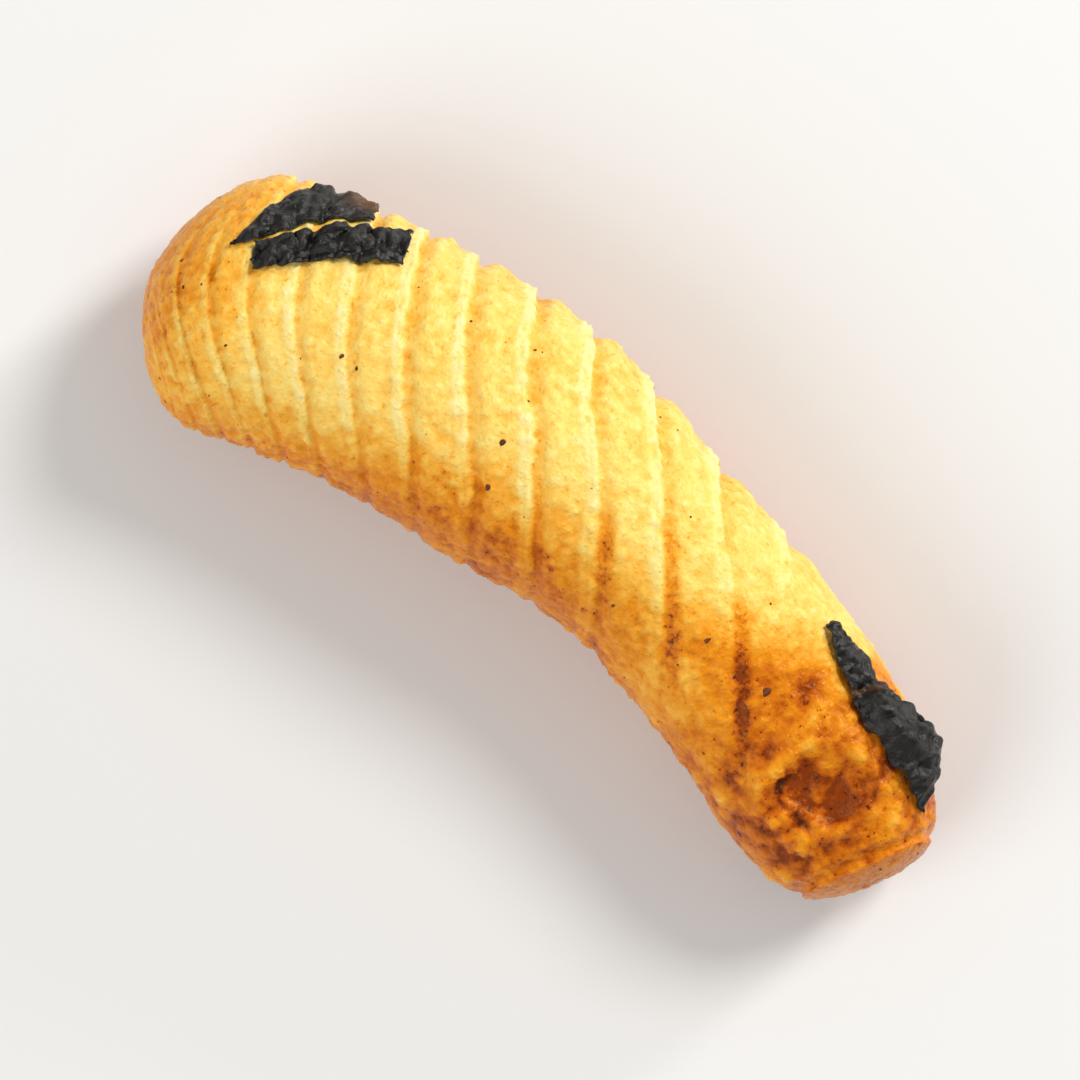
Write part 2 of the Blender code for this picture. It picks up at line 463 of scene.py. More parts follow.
def new_tree(name, inputs):
    """A geometry tree with named inputs, each a (name, default) pair."""
    tree = bpy.data.node_groups.new(name, "GeometryNodeTree")
    tree.interface.new_socket("Geometry", in_out="INPUT", socket_type="NodeSocketGeometry")
    for label, default in inputs:
        kind = "NodeSocketInt" if isinstance(default, int) else "NodeSocketFloat"
        socket = tree.interface.new_socket(label, in_out="INPUT", socket_type=kind)
        socket.default_value = default
    tree.interface.new_socket("Geometry", in_out="OUTPUT", socket_type="NodeSocketGeometry")
    nodes = Nodes(tree)
    group = nodes.add("NodeGroupInput")
    sizes = {label: Number(nodes, group.outputs[label]) for label, _ in inputs}
    return nodes, group.outputs["Geometry"], sizes


def close_tree(nodes, geometry, material):
    """Realize what the tree made, give it its material and send it out."""
    realized = nodes.add("GeometryNodeRealizeInstances", None, {"Geometry": geometry})
    smooth = nodes.add("GeometryNodeSetShadeSmooth", None, {"Geometry": realized.outputs[0]})
    painted = nodes.add(
        "GeometryNodeSetMaterial", None, {"Geometry": smooth.outputs[0], "Material": material})
    nodes.add("NodeGroupOutput", None, {0: painted.outputs[0]})


def bake_tree(name, nodes, values, base=None):
    """Run a tree with the given input values and keep its result as a plain mesh object."""
    mesh = base.data.copy() if base else bpy.data.meshes.new(name + "_base")
    maker = bpy.data.objects.new(name + "_maker", mesh)
    bpy.context.scene.collection.objects.link(maker)
    modifier = maker.modifiers.new("tree", "NODES")
    modifier.node_group = nodes.tree
    for item in nodes.tree.interface.items_tree:
        if item.in_out == "INPUT" and item.name in values:
            modifier[item.identifier] = values[item.name]
    depsgraph = bpy.context.evaluated_depsgraph_get()
    result = bpy.data.meshes.new_from_object(maker.evaluated_get(depsgraph))
    bpy.data.objects.remove(maker, do_unlink=True)
    result.name = name
    piece = bpy.data.objects.new(name, result)
    bpy.context.scene.collection.objects.link(piece)
    return piece


def move(nodes, geometry, position=None, offset=None):
    """Set the places of the mesh's points, or shift them."""
    sockets = {"Geometry": geometry}
    if position is not None:
        sockets["Position"] = position
    if offset is not None:
        sockets["Offset"] = offset
    return nodes.add("GeometryNodeSetPosition", None, sockets).outputs[0]


def remember(nodes, geometry, name, value):
    """Store a number on the points of the mesh, for the material to read."""
    settings = {"data_type": "FLOAT", "domain": "POINT"}
    sockets = {"Geometry": geometry, "Name": name, "Value": value}
    return nodes.add("GeometryNodeStoreNamedAttribute", settings, sockets).outputs[0]


def recall(nodes, name):
    """Read a stored number back inside the tree."""
    return nodes.number("GeometryNodeInputNamedAttribute", {"data_type": "FLOAT"}, {"Name": name})


def crust_tree(material):
    """The dough log: a sphere laid out along the bent axis, ribbed, then roughened."""
    nodes, _, size = new_tree("Ribbed dough log", (
        ("Segments", SEGMENTS_AROUND),
        ("Rings", RINGS_ALONG),
        ("Rib pitch", RIB_PITCH),
        ("Rib depth", RIB_DEPTH),
        ("Hollow depth", HOLLOW_DEPTH),
        ("Unevenness", 0.2),
        ("Blisters", 0.19),
        ("Wrinkles", 0.2),
        ("Fine ribs", 0.14),
        ("Grain", 0.17),
        ("Lumps", 0.36),
        ("Pores", 0.08),
        ("Seed", 3.0),
    ))
    ball = nodes.add("GeometryNodeMeshUVSphere", None, {
        "Segments": size["Segments"], "Rings": size["Rings"], "Radius": 1.0})
    x, y, z = nodes.split(nodes.add("GeometryNodeInputPosition").outputs[0])
    turn = y.math("ARCTAN2", x)
    polar = (x * x + y * y).math("SQRT").math("ARCTAN2", z)
    along = ring_station(polar / math.pi)
    seed = size["Seed"]

    plain_x, plain_y, plain_z, across = crust_place(along, turn, 0.0)
    plain = nodes.vector(plain_x, plain_y, plain_z)
    passed, count = ribs_passed(plain_x, plain_y, along, turn, size["Rib pitch"])
    wanders = [nodes.noise(plain, scale, shift=seed) * gain for scale, gain in RIB_WANDERS]
    count = count + (wanders[0] + wanders[1])
    fraction = count.math("FRACT")

    strength = rib_strength(nodes, plain, along, across, turn, passed, seed)
    ribs = (rib_profile(fraction) - RIB_MIDDLE) * size["Rib depth"] * strength
    bowl, rim, reach = hollow(nodes, plain, along, across, turn, size["Hollow depth"], seed)
    crease = bell(AXIS_LENGTH - LIP_WIDTH, CREASE_WIDTH, along) * -CREASE_DEPTH
    uneven = nodes.noise(plain, UNEVEN_SCALE, shift=seed + 2.0) * size["Unevenness"] * 2.0
    relief = ribs + bowl + rim + crease + uneven - SKIN_ALLOWANCE

    placed_x, placed_y, placed_z, _ = crust_place(along, turn, relief)
    geometry = ball.outputs["Mesh"]
    for name, value in (
        ("along", along), ("across", across), ("rib_count", count), ("topside", cosine(turn)),
        ("hollow_reach", reach), ("rib_strength", strength),
    ):
        geometry = remember(nodes, geometry, name, value)
    place = nodes.vector(placed_x, placed_y, placed_z)
    geometry = move(nodes, geometry, position=place)
    geometry = roughen(nodes, geometry, size)
    geometry = press_flat(nodes, geometry, seed)
    close_tree(nodes, geometry, material)
    return nodes


def roughen(nodes, geometry, size):
    """Push the crust in and out along its normal: blisters, wrinkles, lumps, grain and pores."""
    seed = size["Seed"]
    place = nodes.add("GeometryNodeInputPosition").outputs[0]
    x, y, z = nodes.split(place)
    fraction = recall(nodes, "rib_count").math("FRACT")
    along = recall(nodes, "along")
    across_ribs, along_ribs = rib_direction(x, y)
    streaky = nodes.vector(across_ribs * STREAK_STRETCH, along_ribs, z)

    thin_end = ease(*THIN_END, along)
    rib_lines = nodes.vector(
        recall(nodes, "rib_count") * FINE_RIB_COUNT,
        along_ribs * FINE_RIB_STRETCH,
        z * FINE_RIB_STRETCH)
    fine_rib = nodes.noise(rib_lines, FINE_RIB_SCALE, detail=1.0, shift=seed + 3.0)
    fine_rib = fine_rib * recall(nodes, "rib_strength")
    patch = nodes.noise(place, ROUGH_PATCH_SCALE, shift=seed + 7.0)
    patch = ease(*ROUGH_PATCH_EDGE, patch)
    blister = BLISTER_MIDDLE - nodes.cells(place, BLISTER_SCALE, "SMOOTH_F1", seed)
    bubble = BUBBLE_MIDDLE - nodes.cells(place, BUBBLE_SCALE, shift=seed + 6.0)
    sway = nodes.noise(place, LUMP_SWAY_SCALE, shift=seed + 13.0)
    swayed = nodes.vector(x + sway * LUMP_SWAY[0], y - sway * LUMP_SWAY[1], z)
    lump = LUMP_MIDDLE - nodes.cells(swayed, LUMP_SCALE, "SMOOTH_F1", seed + 12.0)
    wrinkle = nodes.noise(streaky, WRINKLE_SCALE, detail=1.5, shift=seed + 1.0)
    wrinkle = wrinkle * bell(WRINKLE_AT, WRINKLE_WIDTH, fraction) * (1.0 - thin_end)
    grain = nodes.noise(place, GRAIN_SCALE, detail=1.5, roughness=0.6, shift=seed + 4.0)
    pore = ease(*PORE_EDGE, nodes.cells(place, PORE_SCALE, shift=seed + 11.0))
    push = (blister + bubble * BUBBLE_SHARE) * size["Blisters"] * blend(*BLISTERED, patch)
    push = push + wrinkle * size["Wrinkles"] * blend(*WRINKLED, patch) + grain * size["Grain"]
    push = push + fine_rib * size["Fine ribs"]
    lump = lump * thin_end * ease(*LUMP_FADE, AXIS_LENGTH - along)
    push = push + lump * size["Lumps"] - pore * size["Pores"]
    geometry = remember(nodes, geometry, "rise", push)
    geometry = remember(nodes, geometry, "lump", lump)
    normal = nodes.add("GeometryNodeInputNormal").outputs[0]
    near_tip = ease(TIP_REACH, 0.0, along) + ease(TIP_REACH, 0.0, AXIS_LENGTH - along)
    height = recall(nodes, "rise") * (1.0 - near_tip * TIP_SMOOTHING) - near_tip * TIP_SINKING
    settings = {"operation": "SCALE"}
    offset = nodes.add("ShaderNodeVectorMath", settings, {0: normal, "Scale": height})
    return move(nodes, geometry, offset=offset.outputs[0])


def press_flat(nodes, geometry, seed):
    """Flatten the underside on the ground, a little unevenly, and turn millimetres into metres."""
    place = nodes.add("GeometryNodeInputPosition").outputs[0]
    x, y, z = nodes.split(place)
    ground = nodes.noise(place, GROUND_SCALE, shift=seed + 8.0) * GROUND_UNEVENNESS
    ground = most(ground, 0.0)
    pressed = nodes.vector(x, y, most(z, ground))
    settings = {"operation": "SCALE"}
    metres = nodes.add("ShaderNodeVectorMath", settings, {0: pressed, "Scale": MM})
    return move(nodes, geometry, position=metres.outputs[0])


# ---------------------------------------------------------------- materials

def new_material(name):
    """A material with a Principled shader, and the tools to add nodes to it."""
    material = bpy.data.materials.new(name)
    material.use_nodes = True
    nodes = Nodes(material.node_tree)
    shader = material.node_tree.nodes["Principled BSDF"]
    return material, nodes, shader


def millimetres(nodes):
    """Object coordinates in millimetres."""
    place = nodes.add("ShaderNodeTexCoord").outputs["Object"]
    settings = {"operation": "SCALE"}
    return nodes.add("ShaderNodeVectorMath", settings, {0: place, "Scale": 1.0 / MM}).outputs[0]


def attribute(nodes, name):
    """Read a number that the tree stored, inside a material."""
    node = nodes.add("ShaderNodeAttribute", {"attribute_name": name})
    return Number(nodes, node.outputs["Fac"])


def wire(nodes, value, socket):
    """Link a flowing number or a socket to an input."""
    nodes.tree.links.new(value.socket if isinstance(value, Number) else value, socket)


def add_bump(nodes, shader, height, depth, strength=1.0):
    """Bump of the given depth in millimetres."""
    bump = nodes.add("ShaderNodeBump", None, {
        "Strength": strength, "Distance": depth * MM, "Height": height})
    wire(nodes, bump.outputs[0], shader.inputs["Normal"])


def shade(red, green, blue):
    return (red, green, blue, 1.0)


# Colours of the crust from pale to burnt, by how far it is toasted and how much painted shade it
# is given
TOAST_AND_SHADE_STOPS = (
    (0.00, shade(0.94, 0.80, 0.36)),
    (0.20, shade(0.93, 0.66, 0.16)),
    (0.40, shade(0.91, 0.45, 0.050)),
    (0.60, shade(0.80, 0.27, 0.008)),
    (0.80, shade(0.55, 0.12, 0.003)),
    (0.93, shade(0.26, 0.038, 0.002)),
    (1.00, shade(0.06, 0.010, 0.002)),
)

# How far the crust is toasted: 0 pale, 0.5 golden, 0.8 amber, 1 burnt; on the inner edge and the
# underside the darkening is partly painted shade
PALEST = 0.2
BURNT_LIMIT = 0.94
INNER_EDGE_START = 5.2
INNER_EDGE_CLIMBS = (((6.0, 22.0), 2.8), ((24.0, 40.0), 9.0))
INNER_EDGE_SHADE_AND_TOAST = 0.47
INNER_SHADE_AND_TOAST_SLOPE = 0.12
INNER_SHADE_AND_TOAST_LIMIT = 0.66
FAT_TIP_TOAST = 0.56
FAT_TIP_SLOPE = 0.06
UNDERSIDE = (0.3, -0.4)
UNDERSIDE_SHADE_AND_TOAST = 0.66
THIN_TIP = (31.5, 38.5)
THIN_TIP_TOAST = 0.67

# The paler spot on the inner side: middle and width each way, and how much paler
PALE_SPOT_ALONG = (29.5, 2.6)
PALE_SPOT_ACROSS = (-3.2, 1.6)
PALE_SPOT_GAIN = 0.2

# How the toast changes from spot to spot, with painted light on raised bits and lumps and painted
# shade in pits, grooves and between lumps
CLOUD_GAINS = (0.45, 0.2)
CLOUD_CALMING = (33.0, 37.0)
CLOUD_TOAST = (0.15, 0.5)
MOTTLE_GAIN = 0.36
SPECKLE_GAIN = 0.2
RISE_GAIN = 1.1
TOAST_SHIFT = 0.01
RIDGE_SPREAD = 0.06
RIDGE_PALENESS = 0.2
GROOVE_SHADE_AND_TOAST = 0.13
LUMP_GAIN = 0.3
PORE_TOAST = 0.16
PRICK_TOAST = 0.3

# The toast of the hollow, in radii from its middle, and of the scorched arc on its inner side
BASIN_EDGE = (1.25, 0.5)
BASIN_TOAST = 0.2
SCORCH_REACH = 0.95
SCORCH_WIDTH = 0.1
SCORCH_ACROSS = (-0.7, -1.3)
SCORCH_TOAST = 0.2

# The dark furrows between the ribs of the thin half
FURROW_SHIFT = 0.4
FURROW_EDGE = (0.19, 0.02)
FURROW_RAGGEDNESS = 0.12
FURROW_ALONG_IN = (21.5, 23.5)
FURROW_ALONG_OUT = (34.5, 33.0)
FURROW_ACROSS_IN = (-3.8, -2.2)
FURROW_ACROSS_OUT = (2.2, 0.8)
FURROW_SPECKLE = (-0.05, 0.2)
FURROW_SPECKLE_TOAST = 0.16
FURROW_TOAST = 0.2


def toast_and_painted_shade(along, across, topside):
    """Toast plus painted shade on the inner edge and underside, before it changes from spot to
    spot.
    """
    (first, first_climb), (second, second_climb) = INNER_EDGE_CLIMBS
    edge = ease(*first, along) * first_climb + ease(*second, along) * second_climb
    edge = edge - INNER_EDGE_START
    # Darker towards the inner edge, the side turned from the light: partly toasting, partly
    # painted shade
    inner = least(INNER_EDGE_SHADE_AND_TOAST - (across - edge) * INNER_SHADE_AND_TOAST_SLOPE, INNER_SHADE_AND_TOAST_LIMIT)
    pale_spot = bell(*PALE_SPOT_ALONG, along) * bell(*PALE_SPOT_ACROSS, across)
    inner = inner - pale_spot * PALE_SPOT_GAIN
    fat_tip = FAT_TIP_TOAST - along * FAT_TIP_SLOPE
    # Darker on the sides that face down: partly toasting, partly painted shade
    below = ease(*UNDERSIDE, topside) * UNDERSIDE_SHADE_AND_TOAST
    thin_tip = ease(*THIN_TIP, along) * THIN_TIP_TOAST
    return most(most(most(inner, fat_tip), most(below, thin_tip)), PALEST)


def furrows(along, across, fraction, cloud, mottle):
    """Where the furrows are: 1 in the middle of each, 0 outside them."""
    furrow = ((fraction + FURROW_SHIFT).math("FRACT") - 0.5).math("ABSOLUTE")
    furrow = ease(*FURROW_EDGE, furrow + mottle * FURROW_RAGGEDNESS)
    furrow = furrow * ease(*FURROW_ALONG_IN, along) * ease(*FURROW_ALONG_OUT, along)
    furrow = furrow * ease(*FURROW_ACROSS_IN, across)
    return furrow * ease(*FURROW_ACROSS_OUT, across + cloud * 1.5)


def crust_material():
    """Matt dough, pale on the ribs, toasted in the furrows, the hollow and at both tips. Painted
    shade darkens its low sides, grooves and pits, and painted light brightens its bumps.
    """
    material, nodes, shader = new_material("toasted_crust")
    place = millimetres(nodes)
    along = attribute(nodes, "along")
    across = attribute(nodes, "across")
    fraction = attribute(nodes, "rib_count").math("FRACT")
    topside = attribute(nodes, "topside")
    reach = attribute(nodes, "hollow_reach")
    strength = attribute(nodes, "rib_strength")
    rise = attribute(nodes, "rise")
    cloud = nodes.noise(place, 0.6, detail=3.0)
    mottle = nodes.noise(place, 1.5, detail=3.0, roughness=0.65, shift=2.0)
    speckle = nodes.noise(place, 4.5, detail=2.0, roughness=0.6, shift=6.0)

    base = toast_and_painted_shade(along, across, topside)
    clouding = blend(*CLOUD_GAINS, ease(*CLOUD_CALMING, along)) * ease(*CLOUD_TOAST, base)
    toasted = base + cloud * clouding + mottle * MOTTLE_GAIN + speckle * SPECKLE_GAIN
    # Raised bits of the fine relief are paler and sunk bits darker: partly the dough's own tone,
    # partly painted light and shade
    toasted = toasted - rise * RISE_GAIN - TOAST_SHIFT
    ridge = bell(FIRST_RIDGE, RIDGE_SPREAD, fraction) + bell(SECOND_RIDGE, RIDGE_SPREAD, fraction)
    toasted = toasted - ridge * strength * RIDGE_PALENESS
    # The groove and the steep rise after it are darker: partly toasting, partly painted shade
    groove = ease(0.95, 1.0, fraction) + ease(0.2, 0.02, fraction)
    toasted = toasted + groove * strength * GROOVE_SHADE_AND_TOAST

    furrow = furrows(along, across, fraction, cloud, mottle)
    peppered = ease(*FURROW_SPECKLE, speckle) * FURROW_SPECKLE_TOAST
    toasted = toasted + furrow * (peppered + FURROW_TOAST)

    top = ease(0.2, 0.5, topside)
    # Lumps of the thin end are paler and the gaps between them darker: partly toasting, partly
    # painted light and shade
    toasted = toasted - attribute(nodes, "lump") * LUMP_GAIN
    basin = ease(*BASIN_EDGE, reach + mottle * 0.6) * top
    toasted = least(toasted + basin * BASIN_TOAST, BURNT_LIMIT + speckle * 0.1)
    scorch = bell(SCORCH_REACH, SCORCH_WIDTH, reach + mottle * 0.3) * top
    scorch = scorch * ease(*SCORCH_ACROSS, across)
    toasted = toasted + scorch * SCORCH_TOAST

    pore = ease(0.18, 0.07, nodes.cells(place, 0.9))
    toasted = toasted + pore * ease(-0.15, 0.15, speckle) * PORE_TOAST
    prick = ease(0.12, 0.2, speckle) * ease(0.02, 0.14, mottle + base * 0.06)
    toasted = toasted + prick * PRICK_TOAST
    ramp = nodes.add("ShaderNodeValToRGB", {"stops": TOAST_AND_SHADE_STOPS}, {"Fac": toasted})
    wire(nodes, ramp.outputs["Color"], shader.inputs["Base Color"])

    roughness = mottle * 0.4 + 0.33 - ease(0.4, 0.7, base) * 0.08
    wire(nodes, roughness, shader.inputs["Roughness"])
    shader.inputs["Specular IOR Level"].default_value = 0.26
    shader.inputs["Specular Tint"].default_value = shade(1.0, 0.8, 0.4)
    grain = nodes.noise(place, 6.5, detail=2.0, roughness=0.65, shift=3.0)
    bubbles = ease(0.0, 0.5, nodes.cells(place, 3.6))
    add_bump(nodes, shader, grain - bubbles * 0.5, 0.08, 0.8)
    return material


SEAWEED_BLACK = shade(0.003, 0.003, 0.002)
SEAWEED_BROWN = shade(0.010, 0.007, 0.004)
SEAWEED_FIBRE = shade(0.040, 0.030, 0.018)
SEAWEED_WORN = shade(0.16, 0.06, 0.012)


def seaweed_material():
    """Black, slightly glossy sheet with paler fibres, brown where it is worn thin."""
    material, nodes, shader = new_material("dried_seaweed")
    place = millimetres(nodes)
    cloud = nodes.noise(place, 1.1, detail=3.0)
    fibre = nodes.noise(place, 4.5, detail=4.0, roughness=0.7, shift=1.0)
    thin = attribute(nodes, "thinness")
    base = nodes.tint(ease(-0.1, 0.2, cloud), SEAWEED_BLACK, SEAWEED_BROWN)
    base = nodes.tint(ease(0.1, 0.3, fibre) * 0.5, base, SEAWEED_FIBRE)
    base = nodes.tint(thin, base, SEAWEED_WORN)
    wire(nodes, base, shader.inputs["Base Color"])
    wire(nodes, fibre * 0.3 + 0.15, shader.inputs["Roughness"])
    shader.inputs["Specular IOR Level"].default_value = 0.4
    add_bump(nodes, shader, fibre * 0.8 + cloud, 0.12, 0.9)
    return material


FLECK_LIGHT = shade(0.20, 0.055, 0.015)
FLECK_DARK = shade(0.05, 0.015, 0.008)
FLECK_ROUGHNESS = 0.5


def fleck_material():
    """Burnt crumbs and flecks."""
    material, nodes, shader = new_material("toasted_fleck")
    place = millimetres(nodes)
    cloud = nodes.noise(place, 2.0, detail=2.0)
    base = nodes.tint(ease(-0.2, 0.2, cloud), FLECK_DARK, FLECK_LIGHT)
    wire(nodes, base, shader.inputs["Base Color"])
    wire(nodes, cloud * 0.3 + FLECK_ROUGHNESS, shader.inputs["Roughness"])
    shader.inputs["Specular IOR Level"].default_value = 0.2
    add_bump(nodes, shader, nodes.noise(place, 9.0, detail=3.0), 0.02, 0.7)
    return material


# ---------------------------------------------------------------- seaweed strips

SHEET_THICKNESS = 0.11
SHEET_GAP = 0.03
EDGE_MARGIN = 0.25
SMOOTHING_ROUNDS = 12


def keep_mesh(name, shape, material):
    """Turn a mesh in the making into an object of one material."""
    mesh = bpy.data.meshes.new(name)
    shape.to_mesh(mesh)
    shape.free()
    mesh.materials.append(material)
    piece = bpy.data.objects.new(name, mesh)
    bpy.context.scene.collection.objects.link(piece)
    return piece


class Crust:
    """Finds the crust's surface for what lies on it."""

    def __init__(self, piece):
        bpy.context.view_layer.update()
        self.tree = BVHTree.FromObject(piece, bpy.context.evaluated_depsgraph_get())

    def spot(self, along, across, reach=4.0):
        """Place on the plain section, the way out of it, and the crust's height above it."""
        squaring = ease(SQUARING_START, SQUARING_END, along)
        power = 0.5 * blend(ROUND_POWER, SQUARE_POWER, squaring)
        share = across / (half_width(along) * tip_rounding(along) + EDGE_MARGIN)
        turn = math.asin(min(max(signed_power(share, power), -1.0), 1.0))
        inner = Vector(crust_place(along, turn, 0.0)[:3])
        outward = (Vector(crust_place(along, turn, 2.0)[:3]) - inner).normalized()
        start = inner + outward * reach * 0.5
        hit = self.tree.ray_cast(start * MM, -outward, reach * MM)[0]
        if hit is None:
            return inner, outward, 0.0
        return inner, outward, (hit / MM - inner).dot(outward)


def smoothed(rows, rounds):
    """A grid of numbers with each pulled towards its neighbours' mean."""
    for _ in range(rounds):
        result = []
        for i, row in enumerate(rows):
            above = rows[max(i - 1, 0)]
            below = rows[min(i + 1, len(rows) - 1)]
            line = []
            for j, value in enumerate(row):
                beside = row[max(j - 1, 0)] + row[min(j + 1, len(row) - 1)]
                line.append(0.2 * (value + above[j] + below[j] + beside))
            result.append(line)
        rows = result
    return rows


def edge_point(points, step):
    """Point at step 0 to 1 of a smooth curve through evenly spaced points."""
    whole = min(int(step * (len(points) - 1)), len(points) - 2)
    part = step * (len(points) - 1) - whole
    first, second = Vector(points[whole]), Vector(points[whole + 1])
    before = Vector(points[whole - 1]) if whole > 0 else 2.0 * first - second
    after = Vector(points[whole + 2]) if whole + 2 < len(points) else 2.0 * second - first
    curve = 2.0 * first + (second - before) * part
    curve += (2.0 * before - 5.0 * first + 4.0 * second - after) * part ** 2
    curve += (3.0 * first - before - 3.0 * second + after) * part ** 3
    return 0.5 * curve


def nori_strip(name, crust, near, far, cells, crumple, ragged, lift, thinness, material):
    """A crumpled strip of seaweed that lies on the crust between two edges.

    `near` and `far` are (along, across) points of its long edges. `lift(step, side)` is how far
    it stands off the crust and `thinness(step, side)` how far it is worn to a brown film, for
    step 0 to 1 along it and side 0 to 1 across it.
    """
    columns, rows = cells
    places = []
    heights = []
    for i in range(columns + 1):
        step = i / columns
        line = []
        levels = []
        for j in range(rows + 1):
            side = j / rows
            pull = noise.noise(Vector((side * 4.0, len(name), 3.0))) * ragged * (2.0 * step - 1.0)
            slide = min(max(step + 0.04 * pull, 0.0), 1.0)
            low = edge_point(near, slide)
            high = edge_point(far, slide)
            fray = noise.noise(Vector((step * 11.0, side * 0.8, len(name)))) * ragged * 0.12
            point = low.lerp(high, side) + (high - low) * fray * (2.0 * side - 1.0)
            inner, outward, level = crust.spot(point.x, point.y)
            line.append((inner, outward, step, side))
            levels.append(level)
        places.append(line)
        heights.append(levels)
    soft = smoothed(heights, SMOOTHING_ROUNDS)
    shape = bmesh.new()
    worn = shape.verts.layers.float.new("thinness")
    grid = []
    for i, line in enumerate(places):
        column = []
        for j, (inner, outward, step, side) in enumerate(line):
            folds = noise.noise(inner * 1.3) * 0.8 + noise.noise(inner * 2.9) * 0.4
            creases = abs(noise.noise(inner * 1.1 + Vector((9.0, 0.0, 0.0))))
            creases += abs(noise.noise(inner * 2.4 + Vector((0.0, 5.0, 0.0)))) * 0.6
            level = max(soft[i][j], heights[i][j]) + SHEET_GAP
            level += lift(step, side) + crumple * (0.7 + folds - creases)
            level = max(level, heights[i][j] + SHEET_GAP)
            vertex = shape.verts.new((inner + outward * level) * MM)
            vertex[worn] = thinness(step, side)
            column.append(vertex)
        grid.append(column)
    for i in range(columns):
        for j in range(rows):
            shape.faces.new((grid[i][j], grid[i + 1][j], grid[i + 1][j + 1], grid[i][j + 1]))
    piece = keep_mesh(name, shape, material)
    piece.data.shade_smooth()
    wall = piece.modifiers.new("thickness", "SOLIDIFY")
    wall.thickness = SHEET_THICKNESS * MM
    wall.offset = 1.0
    return piece


def curled_lift(step, side):
    """The curled strip stands up in a small fold, dips, then curls away from the crust."""
    first = 0.35 * ease(0.05, 0.22, step) * ease(0.38, 0.25, step) * math.sin(math.pi * side)
    curl = ease(0.4, 0.62, step) * ease(1.0, 0.78, step)
    return 0.06 + first + curl * (0.7 * side ** 1.4 + 0.35 * math.sin(math.pi * side))


def make_strips(crust, material):
    """The three strips, each with the node it stands for."""
    back = nori_strip(
        "back_seaweed", crust,
        near=((3.0, 2.15), (4.7, 3.35), (6.4, 4.65), (8.1, 5.25)),
        far=((3.1, 2.3), (4.1, 4.6), (5.6, 5.85), (8.0, 6.05)),
        cells=(96, 34), crumple=0.26, ragged=0.8,
        lift=lambda step, side: 0.03,
        thinness=lambda step, side: ease(0.75, 0.95, step) * ease(0.2, 0.8, side) * 0.8,
        material=material)
    front = nori_strip(
        "front_seaweed", crust,
        near=((4.25, 1.45), (6.1, 2.45), (7.9, 3.35), (9.85, 4.1)),
        far=((3.9, 2.6), (5.7, 3.7), (7.6, 4.8), (9.65, 5.4)),
        cells=(110, 32), crumple=0.42, ragged=0.6,
        lift=lambda step, side: 0.05 + 0.1 * side,
        thinness=lambda step, side: 0.0,
        material=material)
    curled = nori_strip(
        "curled_seaweed", crust,
        near=((31.7, 3.8), (33.3, 3.25), (35.1, 2.85), (37.3, 3.05), (40.3, 3.2)),
        far=((31.8, 4.1), (33.7, 4.45), (35.3, 4.3), (38.0, 4.6), (40.35, 3.35)),
        cells=(120, 34), crumple=0.38, ragged=0.25,
        lift=curled_lift,
        thinness=lambda step, side: 0.4 * ease(0.04, 0.0, abs(step - 0.42 - 0.05 * side)),
        material=material)
    return (back, "nori_back_strip"), (front, "nori_front_strip"), (curled, "nori_curled_strip")


# ---------------------------------------------------------------- flecks and seeds

# The few larger burnt crumbs, each (along, across, radius)
CRUMBS = (
    (32.5, -0.1, 0.21),
    (29.2, -0.8, 0.15),
    (17.0, -0.5, 0.15),
    (17.6, -2.5, 0.14),
    (4.4, -2.1, 0.08),
    (9.2, -0.7, 0.12),
    (10.0, -0.9, 0.1),
    (1.8, -0.1, 0.08),
    (1.3, 1.1, 0.09),
    (25.3, -2.9, 0.1),
    (28.3, -2.1, 0.1),
    (31.2, -0.9, 0.09),
    (16.0, 3.9, 0.08),
)


def make_crumbs(crust, material):
    """Burnt crumbs and a seed, half sunk in the crust."""
    shape = bmesh.new()
    for along, across, radius in CRUMBS:
        inner, outward, level = crust.spot(along, across)
        centre = inner + outward * (level - 0.05 * radius)
        ball = bmesh.ops.create_icosphere(shape, subdivisions=2, radius=1.0)
        for vertex in ball["verts"]:
            bump = 1.0 + 0.5 * noise.noise(vertex.co * 1.3 + centre)
            reach = vertex.co * radius * 0.8 * bump
            reach = reach - outward * reach.dot(outward) * 0.5 + Vector((0.0, 0.3 * reach.y, 0.0))
            vertex.co = (centre + reach) * MM
    piece = keep_mesh("burnt_crumbs", shape, material)
    piece.data.shade_smooth()
    return piece


FLECK_DENSITY = 45000.0
FLECK_SEED = 5
FLECK_FLATNESS = 0.55


def fleck_tree(material):
    """Tiny toasted flecks scattered over the crust, except underneath."""
    nodes, geometry, size = new_tree("Toasted flecks", (
        ("Density", FLECK_DENSITY),
        ("Smallest", 0.03),
        ("Largest", 0.075),
        ("Seed", FLECK_SEED),
    ))
    upper = ease(-0.1, 0.2, recall(nodes, "topside"))
    scatter = nodes.add("GeometryNodeDistributePointsOnFaces", None, {
        "Mesh": geometry, "Density": size["Density"] * upper, "Seed": size["Seed"]})
    fleck = nodes.add("GeometryNodeMeshIcoSphere", None, {"Radius": MM, "Subdivisions": 2})
    settings = {"data_type": "FLOAT"}
    spread = nodes.number("FunctionNodeRandomValue", settings, {
        "Min": 0.0, "Max": 1.0, "Seed": size["Seed"]}, output=1)
    width = blend(size["Smallest"], size["Largest"], spread * spread)
    scale = nodes.vector(width, width, width * FLECK_FLATNESS)
    placed = nodes.add("GeometryNodeInstanceOnPoints", None, {
        "Points": scatter.outputs["Points"], "Instance": fleck.outputs["Mesh"],
        "Rotation": scatter.outputs["Rotation"], "Scale": scale})
    close_tree(nodes, placed.outputs[0], material)
    return nodes


# ---------------------------------------------------------------- stage

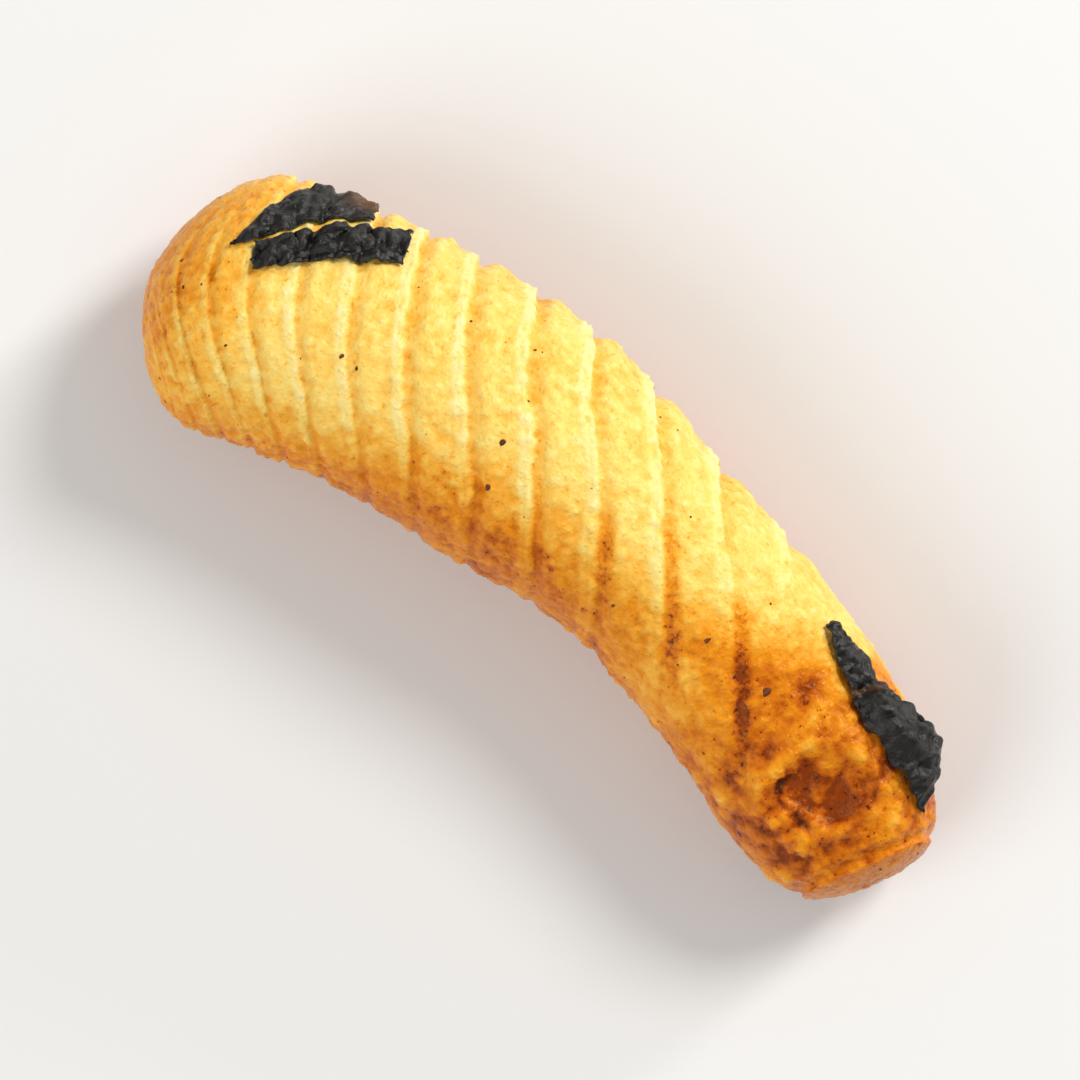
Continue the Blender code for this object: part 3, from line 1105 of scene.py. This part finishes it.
AIM = Vector((-0.48, -1.25, 6.0)) * MM
CAMERA_TURN = 40.0
CAMERA_DISTANCE = 0.42
CAMERA_FRAME = 0.046
SENSOR_WIDTH = 36.0
LENS = SENSOR_WIDTH * CAMERA_DISTANCE / CAMERA_FRAME

# Name, azimuth, elevation, distance, size, energy and colour of each light
LIGHTS = (
    ("key", 80.0, 42.0, 0.5, 0.16, 1.55, (1.0, 0.985, 0.96)),
    ("rim", 78.0, 16.0, 0.5, 0.07, 0.8, (1.0, 0.99, 0.97)),
    ("fill", -110.0, 40.0, 0.6, 0.5, 1.75, (1.0, 0.99, 0.97)),
)
SKY_STRENGTH = 0.42
FLOOR_COLOUR = shade(0.78, 0.78, 0.77)
FLOOR_ROUGHNESS = 0.9
FLOOR_HALF_SIZE = 0.9
FLOOR_GAP = 0.02


def add_light(name, azimuth, elevation, distance, size, energy, colour):
    """An area light that looks at the cracker."""
    data = bpy.data.lights.new(name, "AREA")
    data.shape = "DISK"
    data.size = size
    data.energy = energy
    data.color = colour
    light = bpy.data.objects.new(name, data)
    way = Vector((
        math.cos(math.radians(elevation)) * math.cos(math.radians(azimuth)),
        math.cos(math.radians(elevation)) * math.sin(math.radians(azimuth)),
        math.sin(math.radians(elevation)),
    ))
    light.location = AIM + way * distance
    light.rotation_euler = way.to_track_quat("Z", "Y").to_euler()
    bpy.context.scene.collection.objects.link(light)


def make_stage():
    """Floor, lights, sky and a camera straight above."""
    material, _, shader = new_material("pale_floor")
    shader.inputs["Base Color"].default_value = FLOOR_COLOUR
    shader.inputs["Roughness"].default_value = FLOOR_ROUGHNESS
    shape = bmesh.new()
    bmesh.ops.create_grid(shape, x_segments=2, y_segments=2, size=FLOOR_HALF_SIZE)
    floor = keep_mesh("floor", shape, material)
    floor.location.z = -FLOOR_GAP * MM

    for light in LIGHTS:
        add_light(*light)

    world = bpy.data.worlds.new("studio")
    bpy.context.scene.world = world
    world.use_nodes = True
    sky = world.node_tree.nodes["Background"]
    sky.inputs["Color"].default_value = shade(1.0, 1.0, 1.0)
    sky.inputs["Strength"].default_value = SKY_STRENGTH

    data = bpy.data.cameras.new("camera")
    data.lens = LENS
    data.sensor_width = SENSOR_WIDTH
    data.clip_start = 0.01
    camera = bpy.data.objects.new("camera", data)
    camera.location = AIM + Vector((0.0, 0.0, CAMERA_DISTANCE))
    camera.rotation_euler = (0.0, 0.0, math.radians(CAMERA_TURN))
    bpy.context.scene.collection.objects.link(camera)
    bpy.context.scene.camera = camera
    bpy.context.scene.view_settings.view_transform = "Standard"


# ---------------------------------------------------------------- the whole cracker

def main():
    """Make the stage, then every piece, hung on the root body, hiding the imported parts that the
    crust and strips stand for.
    """
    make_stage()
    crust_finish = crust_material()
    seaweed_finish = seaweed_material()
    fleck_finish = fleck_material()

    crust_nodes = crust_tree(crust_finish)
    crust = bake_tree("ribbed_cracker", crust_nodes, {
        "Rib pitch": RIB_PITCH, "Rib depth": RIB_DEPTH, "Hollow depth": HOLLOW_DEPTH})
    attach(crust, "root")
    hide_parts("cracker")

    surface = Crust(crust)
    for strip, node in make_strips(surface, seaweed_finish):
        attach(strip, "root")
        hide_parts(node)

    crumbs = make_crumbs(surface, fleck_finish)
    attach(crumbs, "root")

    fleck_nodes = fleck_tree(fleck_finish)
    flecks = bake_tree("toasted_flecks", fleck_nodes, {"Seed": FLECK_SEED}, base=crust)
    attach(flecks, "root")


main()
